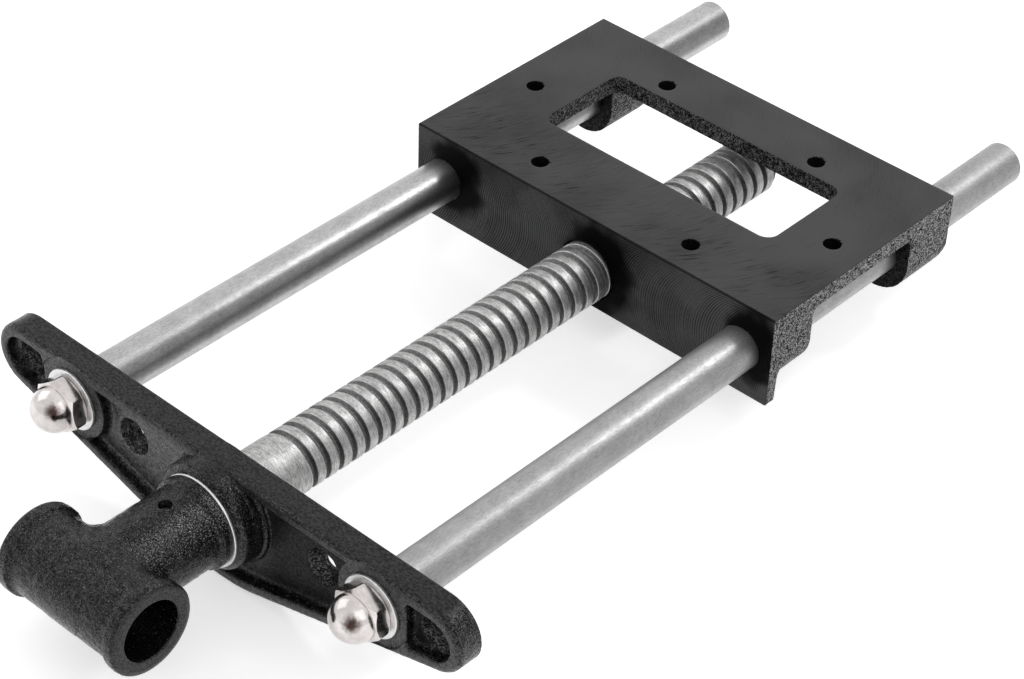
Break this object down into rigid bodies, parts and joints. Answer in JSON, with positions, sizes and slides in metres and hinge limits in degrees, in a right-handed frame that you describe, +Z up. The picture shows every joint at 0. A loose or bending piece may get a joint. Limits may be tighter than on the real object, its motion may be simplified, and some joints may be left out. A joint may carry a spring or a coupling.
{
  "type": "woodworking vise",
  "caption": "Bench-mounted woodworking front vise with a screw-driven front plate on guide rods, ready for wooden jaws and a bar handle",
  "frame": {"origin": "middle of the square of bench holes, on the bracket's top face", "axes": "+X across the bench, +Y from the front plate towards the bench, +Z up"},
  "size_m": [0.2616, 0.4887, 0.0645],
  "materials": {
    "bracket_iron": "black, machined top and front faces, rough cast sides",
    "black_enamel": "glossy black enamel over rough casting",
    "ground_steel": "ground",
    "screw_steel": "turned",
    "nut_steel": "turned",
    "zinc_washer": "bright zinc",
    "nickel": "polished nickel"
  },
  "bodies": {
    "bench_bracket": {"body_casting": "bracket_iron", "lead_nut": "nut_steel"},
    "jaw": {"front_plate": "black_enamel", "guide_rod_left": "ground_steel", "guide_rod_right": "ground_steel", "rod_washer_left": "zinc_washer", "rod_washer_right": "zinc_washer", "cap_nut_left": "nickel", "cap_nut_right": "nickel"},
    "screw": {"lead_screw": "screw_steel", "handle_hub": "black_enamel", "hub_pin": "nut_steel", "thrust_washer": "zinc_washer"}
  },
  "joints": [
    {"name": "jaw_slide", "type": "slide", "parent": "bench_bracket", "child": "jaw", "axis": [0, 1, 0], "range_m": [-0.065, 0.184]},
    {"name": "screw_turn", "type": "hinge", "parent": "jaw", "child": "screw", "pos_m": [0, -0.2639, -0.028], "axis": [0, 1, 0], "range_deg": [-3230, 9140]}
  ],
  "couplings": [
    {"joint": "screw_turn", "follows": "jaw_slide", "rad_per_m": 866.65}
  ]
}
